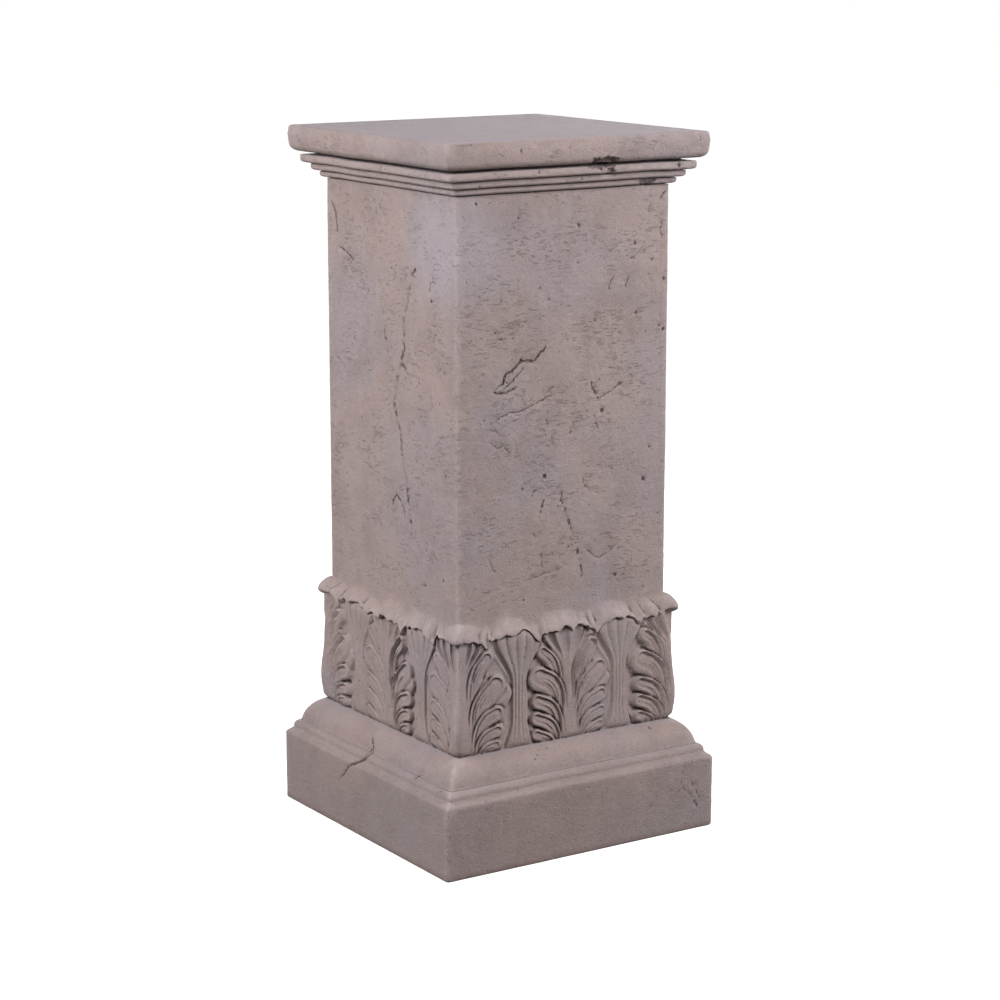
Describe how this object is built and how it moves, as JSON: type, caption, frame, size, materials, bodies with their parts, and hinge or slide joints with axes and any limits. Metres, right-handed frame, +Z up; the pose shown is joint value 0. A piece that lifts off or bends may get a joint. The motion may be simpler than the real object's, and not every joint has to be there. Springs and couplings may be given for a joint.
{
  "type": "display pedestal",
  "caption": "Square stone pedestal with a moulded plinth, a band of carved acanthus leaves, a plain shaft and a stepped cap slab for a vase or statue.",
  "frame": {"origin": "centre of the square underside, on the ground", "axes": "+Z up; +X and +Y normal to two of the four faces; the face seen at the right of the picture looks along -Y and the one at the left along -X"},
  "size_m": [0.346, 0.346, 0.76],
  "materials": {
    "stone": "matt weathered cast stone, pinkish taupe grey, dark in the grooves and cracks"
  },
  "bodies": {
    "root": {"pedestal": "stone"}
  },
  "joints": []
}
